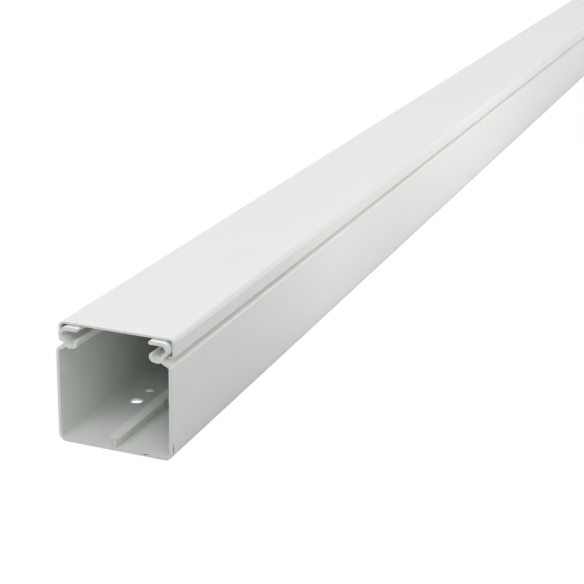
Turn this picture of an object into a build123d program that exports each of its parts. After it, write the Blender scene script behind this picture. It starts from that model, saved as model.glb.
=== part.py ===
from build123d import *
import os

# Square cable trunking in white uPVC, 60 x 60 mm, one 2 m stock length with its clip-on lid.
# Millimetres. X runs across the trunking, Y along it and Z up.
# The origin is the middle of the underside, halfway along. The near end faces -Y.

# Overall sizes
length = 2000.0
width = 60.0
height = 60.0
lid_shift = 3.0  # how far the lid is pushed back from the near end

# Base: floor and side walls
base_wall = 1.6
base_floor = 1.5
base_outer_radius = 4.0

# Base: the curl that leans out above the neck and turns in as an arm
curl_wall = 1.8
curl_outer_radius = 4.1
curl_side_rest = 1.0  # what is left of the straight side below that radius, with room for the heel
curl_heel_radius = 2.2
curl_heel_inner_radius = 0.5
arm_reach = 10.4

# Base: the neck and the shoulder that carry the curl, as drops below its top
neck_height = 0.8
neck_inset = 4.0
neck_radius = 0.35
neck_flank_radius = 0.5
shoulder_drop = 11.2
shoulder_radius = 3.2
shoulder_inner_drop = 11.9
shoulder_inner_radius = 1.4
neck_under_inset = 4.2
neck_under_drop = 10.8
neck_under_radius = 0.6
notch_inset = 5.35
notch_drop = 9.9
notch_radius = 0.3

# Base: the cup that turns in below the arm
cup_wall = 2.1
cup_reach = 10.05
cup_lip_drop = 5.9
cup_floor_drop = 7.9
cup_side_drop = 9.9
cup_side_radius = 2.4
cup_belly_inset = 6.6
cup_belly_drop = 10.6
cup_belly_radius = 1.0
cup_corner_radius = 0.6
cup_inner_radius = 0.9

# Base: the T rib along the middle of the floor
rib_height = 5.9
rib_bar_width = 5.7
rib_bar_thickness = 0.9
rib_stem_width = 1.6
rib_root_radius = 0.4

# Base: the fixing holes, a large and a small one in each group, in one row beside the rib
hole_row_x = -16.0
first_hole_y = 54.0
hole_group_pitch = 250.0
small_hole_offset = 14.6
large_hole_diameter = 6.5
small_hole_diameter = 4.5
end_margin = 20.0

# Lid
lid_wall = 1.1
lid_outer_radius = 2.6
lid_side_height = 10.0
lip_reach = 2.2
lip_heel_radius = 1.6

# The narrow flat left in the middle of each rounded edge
edge_flat = 0.1

# Clearances between the lid and the curl of the base
lid_side_clearance = 0.3
lid_top_clearance = 0.3

# Places that follow from the sizes above
half_width = width / 2
near_end_y = -(length + lid_shift) / 2
base_inner_x = half_width - base_wall
base_inner_radius = base_outer_radius - base_wall
neck_x = half_width - neck_inset
curl_outer_x = half_width - lid_wall - lid_side_clearance
curl_inner_x = curl_outer_x - curl_wall
curl_inner_radius = curl_outer_radius - curl_wall
curl_top_z = height - lid_wall - lid_top_clearance
arm_under_z = curl_top_z - curl_wall
arm_tip_x = curl_outer_x - arm_reach
arm_tip_radius = (curl_wall - edge_flat) / 2
shoulder_z = curl_top_z - shoulder_drop
cup_outer_x = curl_outer_x - cup_reach
cup_inner_x = cup_outer_x + cup_wall
cup_lip_z = curl_top_z - cup_lip_drop
cup_floor_z = curl_top_z - cup_floor_drop
cup_lip_radius = (cup_wall - edge_flat) / 2

# The flank of the curl rises outward from the neck at 45 degrees, curl_wall thick
flank_step = curl_wall * 2**0.5
flank_heel_z = curl_top_z - curl_outer_radius - curl_side_rest
flank_z = flank_heel_z - (curl_outer_x - neck_x)
neck_z = flank_z - neck_height
flank_inner_heel_z = flank_z + flank_step + curl_inner_x - neck_x
flank_foot_x = neck_x - flank_step + cup_floor_z - flank_z

rib_top_z = base_floor + rib_height
rib_under_z = rib_top_z - rib_bar_thickness
rib_edge_radius = (rib_bar_thickness - edge_flat) / 2

# Corners of the right half of the base section and the radius of each, from the middle of the
# underside round the outside, over the curl, along the cup and down the inside to the rib
base_corners = [
    ((0, 0), 0),
    ((half_width, 0), base_outer_radius),
    ((half_width, shoulder_z), shoulder_radius),
    ((neck_x, neck_z), neck_radius),
    ((neck_x, flank_z), neck_flank_radius),
    ((curl_outer_x, flank_heel_z), curl_heel_radius),
    ((curl_outer_x, curl_top_z), curl_outer_radius),
    ((arm_tip_x, curl_top_z), arm_tip_radius),
    ((arm_tip_x, arm_under_z), arm_tip_radius),
    ((curl_inner_x, arm_under_z), curl_inner_radius),
    ((curl_inner_x, flank_inner_heel_z), curl_heel_inner_radius),
    ((flank_foot_x, cup_floor_z), cup_corner_radius),
    ((cup_inner_x, cup_floor_z), cup_inner_radius),
    ((cup_inner_x, cup_lip_z), cup_lip_radius),
    ((cup_outer_x, cup_lip_z), cup_lip_radius),
    ((cup_outer_x, curl_top_z - cup_side_drop), cup_side_radius),
    ((half_width - cup_belly_inset, curl_top_z - cup_belly_drop), cup_belly_radius),
    ((half_width - notch_inset, curl_top_z - notch_drop), notch_radius),
    ((half_width - neck_under_inset, curl_top_z - neck_under_drop), neck_under_radius),
    ((base_inner_x, curl_top_z - shoulder_inner_drop), shoulder_inner_radius),
    ((base_inner_x, base_floor), base_inner_radius),
    ((rib_stem_width / 2, base_floor), rib_root_radius),
    ((rib_stem_width / 2, rib_under_z), rib_edge_radius),
    ((rib_bar_width / 2, rib_under_z), rib_edge_radius),
    ((rib_bar_width / 2, rib_top_z), rib_edge_radius),
    ((0, rib_top_z), 0),
]

# Y of the large hole in each group, as many groups as fit on the length
group_run = length - first_hole_y - small_hole_offset - end_margin
group_count = int(group_run // hole_group_pitch) + 1
large_hole_ys = [near_end_y + first_hole_y + n * hole_group_pitch for n in range(group_count)]
small_hole_ys = [y + small_hole_offset for y in large_hole_ys]

# The base: one extrusion with its fixing holes drilled through the floor
with BuildPart() as base:
    with BuildSketch(Plane.XZ.offset(-near_end_y)):
        with BuildLine():
            FilletPolyline(
                [corner for corner, radius in base_corners],
                radius=[radius for corner, radius in base_corners],
                close=True,
            )
        make_face()
        mirror(about=Plane.YZ)
    extrude(amount=-length)
    with Locations([(hole_row_x, y, base_floor) for y in large_hole_ys]):
        Hole(large_hole_diameter / 2, depth=base_floor)
    with Locations([(hole_row_x, y, base_floor) for y in small_hole_ys]):
        Hole(small_hole_diameter / 2, depth=base_floor)

base.part.label = "base"

# Corners of the right half of the lid section and the radius of each
lid_inner_x = half_width - lid_wall
lid_bottom_z = height - lid_side_height
lip_tip_x = lid_inner_x - lip_reach
lip_tip_radius = (lid_wall - edge_flat) / 2
lid_corners = [
    ((0, height), 0),
    ((half_width, height), lid_outer_radius),
    ((half_width, lid_bottom_z), lip_heel_radius),
    ((lip_tip_x, lid_bottom_z), lip_tip_radius),
    ((lip_tip_x, lid_bottom_z + lid_wall), lip_tip_radius),
    ((lid_inner_x, lid_bottom_z + lid_wall), lip_heel_radius - lid_wall),
    ((lid_inner_x, height - lid_wall), lid_outer_radius - lid_wall),
    ((0, height - lid_wall), 0),
]

# The lid: one extrusion, pushed back along the base
with BuildPart() as lid:
    with BuildSketch(Plane.XZ.offset(-near_end_y - lid_shift)):
        with BuildLine():
            FilletPolyline(
                [corner for corner, radius in lid_corners],
                radius=[radius for corner, radius in lid_corners],
                close=True,
            )
        make_face()
        mirror(about=Plane.YZ)
    extrude(amount=-length)

lid.part.label = "lid"

os.makedirs("parts", exist_ok=True)
export_step(base.part, "parts/base.step")
export_step(lid.part, "parts/lid.step")
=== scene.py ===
import bpy
import math
from mathutils import Euler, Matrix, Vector


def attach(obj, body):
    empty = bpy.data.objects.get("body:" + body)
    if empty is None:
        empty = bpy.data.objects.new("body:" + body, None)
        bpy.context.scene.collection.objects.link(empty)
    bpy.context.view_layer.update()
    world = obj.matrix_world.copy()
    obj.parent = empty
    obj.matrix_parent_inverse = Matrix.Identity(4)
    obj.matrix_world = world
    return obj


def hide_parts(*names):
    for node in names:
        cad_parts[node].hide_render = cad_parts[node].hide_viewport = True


# Square cable trunking in white uPVC: a channel base with clip curls and a clip-on lid, one stock length.
# Metres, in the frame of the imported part: X across, Y along from the near end, Z up.

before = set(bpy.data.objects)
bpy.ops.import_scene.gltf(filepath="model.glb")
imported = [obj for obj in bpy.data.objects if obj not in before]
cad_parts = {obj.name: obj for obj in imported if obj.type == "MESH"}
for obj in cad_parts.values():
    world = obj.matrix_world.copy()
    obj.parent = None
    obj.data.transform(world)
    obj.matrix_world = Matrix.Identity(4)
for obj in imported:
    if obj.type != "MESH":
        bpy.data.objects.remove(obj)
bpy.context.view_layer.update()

mm = 0.001


def linearColour(code):
    # sRGB hex to the linear values that Blender's sockets take
    parts = [int(code[i:i + 2], 16) / 255 for i in (0, 2, 4)]
    return (*[p / 12.92 if p <= 0.04045 else ((p + 0.055) / 1.055) ** 2.4 for p in parts], 1.0)


def addNode(tree, kind, inputs=None, **settings):
    # an input is given by name or number, and is either a plain value or a socket to link from
    node = tree.nodes.new(kind)
    for name, value in settings.items():
        setattr(node, name, value)
    for key, value in (inputs or {}).items():
        if isinstance(value, bpy.types.NodeSocket):
            tree.links.new(value, node.inputs[key])
        else:
            node.inputs[key].default_value = value
    return node


upvc = {
    "ior": 1.53,
    # the real bloom is finer than 0.9 mm, drawn this coarse so that it shows
    "grain": {"Scale": 1 / (0.9 * mm), "Detail": 2.0},
    "dustAndShadeColour": "6A6B66",        # grey of the dust in scuffs, and of the painted shadow by a burr
    "dustAndShadeSpread": (0.03, 0.22),    # from where it starts to show to where it covers
}


def startMaterial(name, specular):
    material = bpy.data.materials.new(name)
    material.use_nodes = True
    tree = material.node_tree
    tree.nodes.clear()
    shader = addNode(tree, "ShaderNodeBsdfPrincipled", {"IOR": upvc["ior"], "Specular IOR Level": specular})
    addNode(tree, "ShaderNodeOutputMaterial", {"Surface": shader.outputs[0]})
    place = addNode(tree, "ShaderNodeTexCoord").outputs["Object"]
    return material, tree, shader, place


def addOval(tree, place, centre, half):
    # 1 in the middle of an oval patch and 0 from its edge outwards; centre and half size in mm
    spread = [1 / (h * mm) for h in half]
    shift = [-c * mm * k for c, k in zip(centre, spread)]
    oval = addNode(tree, "ShaderNodeMapping", {"Vector": place, "Scale": spread, "Location": shift})
    ball = addNode(tree, "ShaderNodeTexGradient", {"Vector": oval.outputs[0]}, gradient_type="SPHERICAL")
    return ball.outputs["Fac"]


def addPatches(tree, place, look):
    # soft patches of two close tints: their pattern and their colour
    patches = addNode(tree, "ShaderNodeTexNoise", {"Vector": place, **look["patches"]})
    ramp = addNode(tree, "ShaderNodeValToRGB", {"Fac": patches.outputs["Fac"]})
    for stop, position, code in zip(ramp.color_ramp.elements, look["tintSpread"], look["tints"]):
        stop.position = position
        stop.color = linearColour(code)
    return patches.outputs["Fac"], ramp.outputs["Color"]


def addDustAndShade(tree, place, mark, clean):
    # the clean colour with one small grey mark, broken up a little: dust in a scratch, painted shadow at a
    # burr
    inside = addOval(tree, place, *mark)
    grain = addNode(tree, "ShaderNodeTexNoise", {"Vector": place, **upvc["grain"]})
    uneven = addNode(tree, "ShaderNodeMath", {0: inside, 1: grain.outputs["Fac"]}, operation="MULTIPLY")
    start, full = upvc["dustAndShadeSpread"]
    shown = addNode(
        tree, "ShaderNodeMapRange", {"Value": uneven.outputs[0], "From Min": start, "From Max": full},
    )
    dustAndShadeMarked = addNode(
        tree, "ShaderNodeMix",
        {0: shown.outputs["Result"], 6: clean, 7: linearColour(upvc["dustAndShadeColour"])}, data_type="RGBA",
    )
    return dustAndShadeMarked.outputs[2]


def addStreaks(tree, place, across, along, detail):
    # a noise that is drawn out along the length
    scale = (1 / across, 1 / along, 1 / across)
    drawnOut = addNode(tree, "ShaderNodeMapping", {"Vector": place, "Scale": scale}).outputs[0]
    streaks = addNode(tree, "ShaderNodeTexNoise", {"Vector": drawnOut, "Scale": 1.0, "Detail": detail})
    return streaks.outputs["Fac"]


skinLook = {
    "specular": 0.5,
    "tints": ("EFF4EB", "ECF3E9"),     # the fill and the titanium white are never mixed quite evenly
    "tintSpread": (0.3, 0.7),
    "patches": {"Scale": 1 / (55 * mm), "Detail": 3.0, "Roughness": 0.55},
    "dieLineGap": 1.1 * mm,            # spacing of the lines that the die leaves along the length
    "dieLineRun": 450 * mm,            # how far one line runs before it fades
    "dieLineDetail": 2.0,
    "swellAcross": 24 * mm,            # the skin swells and sinks a little as it cools
    "swellAlong": 160 * mm,
    "swellDetail": 1.0,
    "gloss": {"From Min": 0.3, "From Max": 0.7, "To Min": 0.28, "To Max": 0.36},
    "swellBump": {"Strength": 0.35, "Distance": 0.25 * mm},
    "lineBump": {"Strength": 0.3, "Distance": 0.012 * mm},
    "grainBump": {"Strength": 0.25, "Distance": 0.006 * mm},
    # a thin scratch low on the right side at the near end: middle and half size in mm
    "scratch": ((30.0, -999.9, 5.6), (1.2, 0.55, 3.6)),
}


def makeExtrudedUpvc():
    # Rigid uPVC as extruded: an even greenish white with a satin skin, faint lines along the
    # length from the die, and a slight swell that bends the reflections.
    look = skinLook
    material, tree, shader, place = startMaterial("extrudedRigidUpvc", look["specular"])
    white = addPatches(tree, place, look)[1]
    tree.links.new(addDustAndShade(tree, place, look["scratch"], white), shader.inputs["Base Color"])

    dieLines = addStreaks(tree, place, look["dieLineGap"], look["dieLineRun"], look["dieLineDetail"])
    swell = addStreaks(tree, place, look["swellAcross"], look["swellAlong"], look["swellDetail"])
    gloss = addNode(tree, "ShaderNodeMapRange", {"Value": dieLines, **look["gloss"]})
    tree.links.new(gloss.outputs["Result"], shader.inputs["Roughness"])
    grain = addNode(tree, "ShaderNodeTexNoise", {"Vector": place, **upvc["grain"]})

    swellBump = addNode(tree, "ShaderNodeBump", {"Height": swell, **look["swellBump"]})
    lineBump = addNode(
        tree, "ShaderNodeBump", {"Height": dieLines, "Normal": swellBump.outputs[0], **look["lineBump"]},
    )
    grainBump = addNode(
        tree, "ShaderNodeBump",
        {"Height": grain.outputs["Fac"], "Normal": lineBump.outputs[0], **look["grainBump"]},
    )
    tree.links.new(grainBump.outputs[0], shader.inputs["Normal"])
    return material


sawnLook = {
    "specular": 0.4,
    "tints": ("DEE5DB", "D8E0D6"),     # the sawn face is torn fine and holds a little dust
    "tintSpread": (0.3, 0.7),
    "patches": {"Scale": 1 / (0.9 * mm), "Detail": 3.0},
    "feedGap": 0.55 * mm,              # spacing of the feed marks of the saw blade
    "ringPeriod": 0.314,               # rings of a wave texture lie this far apart at scale 1
    "arcs": {"Distortion": 1.5, "Detail": 2.0, "Detail Scale": 2.0},
    "axleLeft": 30 * mm,               # the arcs run round the axle of the saw, left of the middle
    "axleBelow": 150 * mm,             # and below the underside
    "gloss": {"To Min": 0.5, "To Max": 0.62},
    "bump": {"Strength": 0.3, "Distance": 0.02 * mm},
    # a dark speck on the lower edge of the near end, painted shadow of a small burr: middle and half size in
    # mm
    "burr": ((16.2, -1001.5, 1.15), (1.9, 1.0, 0.45)),
}


def makeSawnUpvc():
    # The same uPVC where the saw went through: matter, with fine arcs of the blade's feed marks.
    look = sawnLook
    material, tree, shader, place = startMaterial("sawnRigidUpvc", look["specular"])
    fromAxle = addNode(
        tree, "ShaderNodeMapping", {"Vector": place, "Location": (look["axleLeft"], 0.0, look["axleBelow"])},
    )
    arcs = addNode(
        tree, "ShaderNodeTexWave",
        {"Vector": fromAxle.outputs[0], "Scale": look["ringPeriod"] / look["feedGap"], **look["arcs"]},
        wave_type="RINGS", rings_direction="Y",
    ).outputs["Fac"]
    torn = addPatches(tree, place, look)[1]
    # the dark speck at the burr is painted shadow
    tree.links.new(addDustAndShade(tree, place, look["burr"], torn), shader.inputs["Base Color"])
    gloss = addNode(tree, "ShaderNodeMapRange", {"Value": arcs, **look["gloss"]})
    tree.links.new(gloss.outputs["Result"], shader.inputs["Roughness"])
    bump = addNode(tree, "ShaderNodeBump", {"Height": arcs, **look["bump"]})
    tree.links.new(bump.outputs[0], shader.inputs["Normal"])
    return material


rimLook = {
    "specular": 0.3,
    "roughness": 0.7,
    "tints": ("BFC7BD", "D6DED4"),
    "tintSpread": (0.35, 0.65),
    "patches": {"Scale": 1 / (1.6 * mm), "Detail": 3.0},    # 1.6 mm is the length of a torn place
    "bump": {"Strength": 0.4, "Distance": 0.03 * mm},
}


def makeRimUpvc():
    # The rim that the saw or the punch left: a hair of torn burr, drawn as a thin darker grey line round
    # each sawn end and hole.
    look = rimLook
    material, tree, shader, place = startMaterial("scrapedRimUpvc", look["specular"])
    shader.inputs["Roughness"].default_value = look["roughness"]
    torn, colour = addPatches(tree, place, look)
    tree.links.new(colour, shader.inputs["Base Color"])
    bump = addNode(tree, "ShaderNodeBump", {"Height": torn, **look["bump"]})
    tree.links.new(bump.outputs[0], shader.inputs["Normal"])
    return material


skin = makeExtrudedUpvc()
sawn = makeSawnUpvc()
rim = makeRimUpvc()
print("materials made:", skin.name, sawn.name, rim.name)


extrusion = {
    "cornerSteps": 8,        # straight pieces in each rounded corner
    "lengthSteps": 40,       # pieces along the whole length
    "drillLength": 3.0,      # in thicknesses of the floor
    "endFacing": 0.9,        # a face is sawn where its normal points this much along the length
    "rim": 0.2 * mm,         # the burr is scraped off the sawn edges
    "rimSteps": 2,
    "rimAngle": 50,          # degrees; the steps of a rounded corner turn less than this and stay whole
}


def outlineObject(name, corners):
    # the section drawn flat as a loop of edges, mirrored left to right, with each corner's radius
    # as an attribute
    left = [(-x, z, r) for x, z, r in reversed(corners) if x > 0]
    loop = list(corners) + left
    points = [(x * mm, z * mm, 0) for x, z, r in loop]
    edges = [(i, (i + 1) % len(loop)) for i in range(len(loop))]
    mesh = bpy.data.meshes.new(name)
    mesh.from_pydata(points, edges, [])
    radius = mesh.attributes.new("cornerRadius", "FLOAT", "POINT")
    for i, (x, z, r) in enumerate(loop):
        radius.data[i].value = r * mm
    piece = bpy.data.objects.new(name, mesh)
    bpy.context.scene.collection.objects.link(piece)
    return piece


def addInputs(tree, kind, *names):
    for name in names:
        tree.interface.new_socket(name=name, in_out="INPUT", socket_type=kind)


def sweepOutline(tree, given):
    # the outline with rounded corners, swept along Z and then laid down along Y
    loop = addNode(tree, "GeometryNodeMeshToCurve", {"Mesh": given["Outline"]})
    radius = addNode(
        tree, "GeometryNodeInputNamedAttribute", {"Name": "cornerRadius"}, data_type="FLOAT",
    ).outputs["Attribute"]
    rounded = addNode(
        tree, "GeometryNodeFilletCurve",
        {"Curve": loop.outputs[0], "Count": given["Corner Steps"], "Radius": radius}, mode="POLY",
    )
    top = addNode(tree, "ShaderNodeCombineXYZ", {"Z": given["Length"]})
    line = addNode(tree, "GeometryNodeCurvePrimitiveLine", {"End": top.outputs[0]})
    count = addNode(tree, "ShaderNodeMath", {0: given["Length Steps"], 1: 1.0}, operation="ADD")
    rail = addNode(
        tree, "GeometryNodeResampleCurve", {"Curve": line.outputs[0], "Count": count.outputs[0]}, mode="COUNT",
    )
    swept = addNode(
        tree, "GeometryNodeCurveToMesh",
        {"Curve": rail.outputs[0], "Profile Curve": rounded.outputs[0], "Fill Caps": True},
    )
    farEnd = addNode(tree, "ShaderNodeMath", {0: given["Near End"], 1: given["Length"]}, operation="ADD")
    shift = addNode(tree, "ShaderNodeCombineXYZ", {"Y": farEnd.outputs[0]})
    laid = addNode(
        tree, "GeometryNodeTransform",
        {"Geometry": swept.outputs[0], "Translation": shift.outputs[0], "Rotation": (math.pi / 2, 0, 0)},
    )
    skinned = addNode(
        tree, "GeometryNodeSetMaterial", {"Geometry": laid.outputs[0], "Material": given["Skin"]},
    )
    return skinned.outputs[0]


def drillFloor(tree, given, channel):
    # a row of large holes and a row of small ones, cut through the floor beside the rib
    depth = addNode(
        tree, "ShaderNodeMath", {0: given["Floor"], 1: extrusion["drillLength"]}, operation="MULTIPLY",
    )
    middle = addNode(tree, "ShaderNodeMath", {0: given["Floor"], 1: 0.5}, operation="MULTIPLY")
    step = addNode(tree, "ShaderNodeCombineXYZ", {"Y": given["Hole Pitch"]})
    start = addNode(tree, "ShaderNodeMath", {0: given["Near End"], 1: given["First Hole"]}, operation="ADD")
    drills = []
    for label, offset in (("Large Hole", 0.0), ("Small Hole", given["Small Hole Offset"])):
        half = addNode(tree, "ShaderNodeMath", {0: given[label], 1: 0.5}, operation="MULTIPLY")
        drill = addNode(
            tree, "GeometryNodeMeshCylinder",
            {"Vertices": given["Hole Sides"], "Radius": half.outputs[0], "Depth": depth.outputs[0]},
        )
        along = addNode(tree, "ShaderNodeMath", {0: start.outputs[0], 1: offset}, operation="ADD")
        first = addNode(
            tree, "ShaderNodeCombineXYZ",
            {"X": given["Row X"], "Y": along.outputs[0], "Z": middle.outputs[0]},
        )
        row = addNode(
            tree, "GeometryNodeMeshLine",
            {"Count": given["Hole Groups"], "Start Location": first.outputs[0], "Offset": step.outputs[0]},
        )
        placed = addNode(
            tree, "GeometryNodeInstanceOnPoints", {"Points": row.outputs[0], "Instance": drill.outputs[0]},
        )
        solid = addNode(tree, "GeometryNodeRealizeInstances", {0: placed.outputs[0]})
        coloured = addNode(
            tree, "GeometryNodeSetMaterial", {"Geometry": solid.outputs[0], "Material": given["Skin"]},
        )
        drills.append(coloured.outputs[0])
    cut = addNode(
        tree, "GeometryNodeMeshBoolean", {"Mesh 1": channel}, operation="DIFFERENCE", solver="EXACT",
    )
    for colouredDrill in drills:
        tree.links.new(colouredDrill, cut.inputs["Mesh 2"])
    return cut.outputs[0]


def makeExtrusionTree(name, withHoles):
    # outline, rounded and swept -> holes cut through the floor -> skin and sawn ends
    tree = bpy.data.node_groups.new(name, "GeometryNodeTree")
    addInputs(tree, "NodeSocketGeometry", "Outline")
    addInputs(tree, "NodeSocketFloat", "Length", "Near End")
    addInputs(tree, "NodeSocketInt", "Corner Steps", "Length Steps")
    addInputs(tree, "NodeSocketMaterial", "Skin", "Sawn End")
    if withHoles:
        addInputs(tree, "NodeSocketFloat", "Row X", "Floor", "First Hole", "Small Hole Offset")
        addInputs(tree, "NodeSocketFloat", "Hole Pitch", "Large Hole", "Small Hole")
        addInputs(tree, "NodeSocketInt", "Hole Groups", "Hole Sides")
    tree.interface.new_socket(name="Extrusion", in_out="OUTPUT", socket_type="NodeSocketGeometry")
    given = addNode(tree, "NodeGroupInput").outputs

    result = sweepOutline(tree, given)
    if withHoles:
        result = drillFloor(tree, given, result)
    realized = addNode(tree, "GeometryNodeRealizeInstances", {0: result})
    normal = addNode(tree, "GeometryNodeInputNormal")
    along = addNode(tree, "ShaderNodeSeparateXYZ", {0: normal.outputs[0]})
    facing = addNode(tree, "ShaderNodeMath", {0: along.outputs["Y"]}, operation="ABSOLUTE")
    isEnd = addNode(
        tree, "FunctionNodeCompare", {0: facing.outputs[0], 1: extrusion["endFacing"]},
        data_type="FLOAT", operation="GREATER_THAN",
    )
    ends = addNode(
        tree, "GeometryNodeSetMaterial",
        {"Geometry": realized.outputs[0], "Selection": isEnd.outputs[0], "Material": given["Sawn End"]},
    )
    addNode(tree, "NodeGroupOutput", {0: ends.outputs[0]})
    return tree


def growPiece(piece, tree, values):
    # runs the tree on the piece and keeps the result as a plain mesh
    values = {
        "Corner Steps": extrusion["cornerSteps"],
        "Length Steps": extrusion["lengthSteps"],
        "Skin": skin,
        "Sawn End": sawn,
        **values,
    }
    modifier = piece.modifiers.new("extrusion", "NODES")
    modifier.node_group = tree
    for item in tree.interface.items_tree:
        if item.item_type == "SOCKET" and item.in_out == "INPUT" and item.name in values:
            modifier[item.identifier] = values[item.name]
    view = bpy.context.evaluated_depsgraph_get()
    mesh = bpy.data.meshes.new_from_object(piece.evaluated_get(view))
    piece.modifiers.remove(modifier)
    mesh.name = piece.name
    piece.data = mesh
    return piece


def finishRims(piece):
    # scraped rims on the sawn ends and holes; the large flats keep their own normals
    mesh = piece.data
    mesh.polygons.foreach_set("use_smooth", [True] * len(mesh.polygons))
    mesh.materials.append(rim)
    bevel = piece.modifiers.new("rims", "BEVEL")
    bevel.material = len(mesh.materials) - 1
    bevel.width = extrusion["rim"]
    bevel.segments = extrusion["rimSteps"]
    bevel.limit_method = "ANGLE"
    bevel.angle_limit = math.radians(extrusion["rimAngle"])
    bevel.use_clamp_overlap = False
    weighted = piece.modifiers.new("flats", "WEIGHTED_NORMAL")
    weighted.keep_sharp = True


base = {
    "length": 2000 * mm,
    "nearEnd": -1001.5 * mm,
    # right half of the section in mm: x, z and the radius of each corner, from the middle of the
    # underside round the outside, over the curl, along the cup and down the inside to the T rib
    "corners": [
        (0, 0, 0), (30, 0, 4), (30, 47.4, 3.2), (26, 50.1, 0.35), (26, 50.9, 0.5),
        (28.6, 53.5, 2.2), (28.6, 58.6, 4.1), (18.2, 58.6, 0.85), (18.2, 56.8, 0.85), (26.8, 56.8, 2.3),
        (26.8, 54.246, 0.5), (23.254, 50.7, 0.6), (20.65, 50.7, 0.9), (20.65, 52.7, 1.0), (18.55, 52.7, 1.0),
        (18.55, 48.7, 2.4), (23.4, 48.0, 1.0), (24.65, 48.7, 0.3), (25.8, 47.8, 0.6), (28.4, 46.7, 1.4),
        (28.4, 1.5, 2.4), (0.8, 1.5, 0.4), (0.8, 6.5, 0.4), (2.85, 6.5, 0.4), (2.85, 7.4, 0.4), (0, 7.4, 0),
    ],
    "holeRowX": -16 * mm,
    "floor": 1.5 * mm,
    "firstHole": 54 * mm,            # from the near end
    "smallHoleOffset": 14.6 * mm,    # from the large hole before it
    "holePitch": 250 * mm,
    "holeGroups": 8,
    "largeHole": 6.5 * mm,
    "smallHole": 4.5 * mm,
    "holeSides": 48,
}

baseChannel = growPiece(
    outlineObject("baseChannel", base["corners"]),
    makeExtrusionTree("drilledExtrusion", True),
    {
        "Length": base["length"],
        "Near End": base["nearEnd"],
        "Row X": base["holeRowX"],
        "Floor": base["floor"],
        "First Hole": base["firstHole"],
        "Small Hole Offset": base["smallHoleOffset"],
        "Hole Pitch": base["holePitch"],
        "Large Hole": base["largeHole"],
        "Small Hole": base["smallHole"],
        "Hole Groups": base["holeGroups"],
        "Hole Sides": base["holeSides"],
    },
)
finishRims(baseChannel)
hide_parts("base")
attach(baseChannel, "base")
print("base channel:", len(baseChannel.data.polygons), "faces")


lid = {
    "length": 2000 * mm,
    "nearEnd": -998.5 * mm,          # pushed back 3 mm
    # the same way round as the base, so that the faces point outwards: along the inside, round
    # the lip and over the top
    "corners": [
        (0, 58.9, 0), (28.9, 58.9, 1.5), (28.9, 51.1, 0.5), (26.7, 51.1, 0.5),
        (26.7, 50, 0.5), (30, 50, 1.6), (30, 60, 2.6), (0, 60, 0),
    ],
}

clipLid = growPiece(
    outlineObject("clipLid", lid["corners"]),
    makeExtrusionTree("plainExtrusion", False),
    {"Length": lid["length"], "Near End": lid["nearEnd"]},
)
finishRims(clipLid)
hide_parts("lid")
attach(clipLid, "lid")
print("lid:", len(clipLid.data.polygons), "faces")


table = {
    "colour": "DCDCDB",
    "white": 1.0,            # the photograph is cut out on white, so the camera sees white without shadows
    "size": 60.0,
    "gap": 0.1 * mm,
    # the camera sees white through the first large hole, where the table also glows, a painted light on the
    # wall of the hole;
    # through the small one behind it a dimmer glow paints the table's grey shade beneath the trunking: middle
    # and half size in mm of each patch
    "paintedGlowHole": ((-16.0, -947.5, 0.0), (4.0, 4.0, 4.0)),
    "paintedShadeHole": ((-16.0, -932.9, 0.0), (4.0, 4.0, 4.0)),
    "patchEdge": 0.001,      # the share of a patch over which it comes in, next to nothing
    "holeGlow": 0.45,        # strength of the painted glow under the first hole, which lights the wall of the hole
    # painted shade: the share of white that the table shows and gives off under the small hole
    "paintedShadeGlow": 0.26,
}


def makeFloor():
    half, low = table["size"] / 2, -table["gap"]
    corners = [(-half, -half, low), (half, -half, low), (half, half, low), (-half, half, low)]
    mesh = bpy.data.meshes.new("floor")
    mesh.from_pydata(corners, [], [(0, 1, 2, 3)])
    material = bpy.data.materials.new("paleTable")
    material.use_nodes = True
    tree = material.node_tree
    tree.nodes.clear()
    pale = addNode(tree, "ShaderNodeBsdfDiffuse", {"Color": linearColour(table["colour"])})
    white = addNode(tree, "ShaderNodeEmission", {"Strength": table["white"]})
    seen = addNode(tree, "ShaderNodeLightPath").outputs["Is Camera Ray"]
    place = addNode(tree, "ShaderNodeTexCoord").outputs["Object"]
    # painted light: the table glows under the first hole and lights its wall; under the small hole a dim glow
    # paints the table's shade
    paintedGlowHole = addNode(
        tree, "ShaderNodeMapRange",
        {
            "Value": addOval(tree, place, *table["paintedGlowHole"]),
            "From Max": table["patchEdge"],
            "To Max": table["holeGlow"],
        },
    )
    paintedShadeHole = addNode(
        tree, "ShaderNodeMath", {0: addOval(tree, place, *table["paintedShadeHole"]), 1: table["patchEdge"]},
        operation="GREATER_THAN",
    )
    cutOutAndGlow = addNode(tree, "ShaderNodeMath", {0: seen, 1: paintedGlowHole.outputs["Result"]}, operation="MAXIMUM")
    share = addNode(
        tree, "ShaderNodeMix", {0: paintedShadeHole.outputs[0], 2: cutOutAndGlow.outputs[0], 3: table["paintedShadeGlow"]},
        data_type="FLOAT",
    )
    mixed = addNode(
        tree, "ShaderNodeMixShader", {0: share.outputs[0], 1: pale.outputs[0], 2: white.outputs[0]},
    )
    addNode(tree, "ShaderNodeOutputMaterial", {"Surface": mixed.outputs[0]})
    mesh.materials.append(material)
    floor = bpy.data.objects.new("floor", mesh)
    bpy.context.scene.collection.objects.link(floor)
    return floor


makeFloor()


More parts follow.
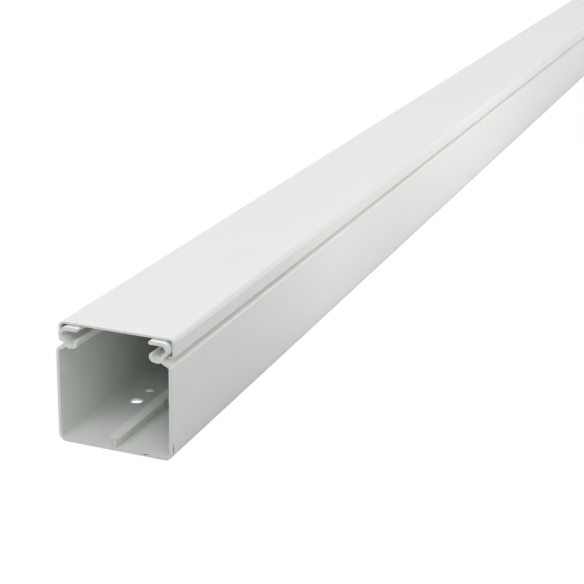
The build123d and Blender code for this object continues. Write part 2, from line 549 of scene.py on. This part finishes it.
studio = {
    "airDim": 0.37,                  # the room to the sides and behind the camera
    "airBright": 0.60,               # the pale wall that the trunking runs towards
    "airTurn": (0.8, 0.99),          # where one goes over into the other, as the share of +Y in the direction
    "roomTint": (1.0, 0.952, 1.005),
    "dayTint": (1.0, 0.952, 1.10),   # a little bluer, as daylight from behind the camera
    # soft lights: place, aim, width, height, watts and which tint
    "lamps": {
        "overhead": ((-2.3, 0.6, 6.0), (0.0, 0.2, 0.0), 3.6, 8.0, 232, "roomTint"),
        "front": ((0.6, -5.4, 3.6), (0.0, -0.95, 0.03), 6.0, 3.0, 70, "dayTint"),
        "frontHigh": ((0.6, -3.6, 5.4), (0.0, -0.95, 0.03), 4.0, 3.0, 80, "dayTint"),
        # small soft lights low beside the trunking, as a white card held there would give
        "sideLong": ((0.35, 0.0, 0.08), (0.03, 0.0, 0.03), 1.2, 0.1, 0.6, "roomTint"),
        "sideMiddle": ((0.25, -0.5, 0.06), (0.03, -0.5, 0.03), 0.4, 0.08, 0.1, "roomTint"),
        "sideNear": ((0.12, -0.78, 0.04), (0.03, -0.78, 0.03), 0.12, 0.05, 0.012, "roomTint"),
    },
    "cameraPlace": (0.29016, -1.53856, 0.29126),
    "cameraTurn": (70.8712, -1.2157, 21.0683),    # degrees
    "lens": 86.82,
    "sensor": 36.0,
    "clip": (0.01, 100.0),
}


def makeAir():
    # an even room that brightens towards the far end
    world = bpy.data.worlds.new("studioAir")
    world.use_nodes = True
    tree = world.node_tree
    direction = addNode(tree, "ShaderNodeTexCoord").outputs["Generated"]
    ahead = addNode(tree, "ShaderNodeSeparateXYZ", {0: direction})
    start, full = studio["airTurn"]
    strength = addNode(
        tree, "ShaderNodeMapRange",
        {
            "Value": ahead.outputs["Y"],
            "From Min": start,
            "From Max": full,
            "To Min": studio["airDim"],
            "To Max": studio["airBright"],
        },
        interpolation_type="SMOOTHSTEP",
    )
    air = tree.nodes["Background"]
    tree.links.new(strength.outputs["Result"], air.inputs["Strength"])
    air.inputs["Color"].default_value = (*studio["roomTint"], 1.0)
    return world


def addSoftLight(name, place, target, width, height, watts, tint):
    light = bpy.data.lights.new(name, "AREA")
    light.shape = "RECTANGLE"
    light.size, light.size_y, light.energy = width, height, watts
    light.color = studio[tint]
    lamp = bpy.data.objects.new(name, light)
    lamp.location = place
    aim = Vector([t - p for t, p in zip(target, place)])
    lamp.rotation_mode = "QUATERNION"
    lamp.rotation_quaternion = aim.to_track_quat("-Z", "Y")
    lamp.visible_camera = False
    bpy.context.scene.collection.objects.link(lamp)


def makeCamera():
    camera = bpy.data.objects.new("camera", bpy.data.cameras.new("camera"))
    camera.data.sensor_width = studio["sensor"]
    camera.data.lens = studio["lens"]
    camera.data.clip_start, camera.data.clip_end = studio["clip"]
    camera.location = studio["cameraPlace"]
    camera.rotation_euler = Euler([math.radians(a) for a in studio["cameraTurn"]], "XYZ")
    bpy.context.scene.collection.objects.link(camera)
    return camera


bpy.context.scene.world = makeAir()
for lampName, lampValues in studio["lamps"].items():
    addSoftLight(lampName, *lampValues)
bpy.context.scene.camera = makeCamera()
bpy.context.scene.view_settings.view_transform = "Standard"
print("floor, lights and camera set")
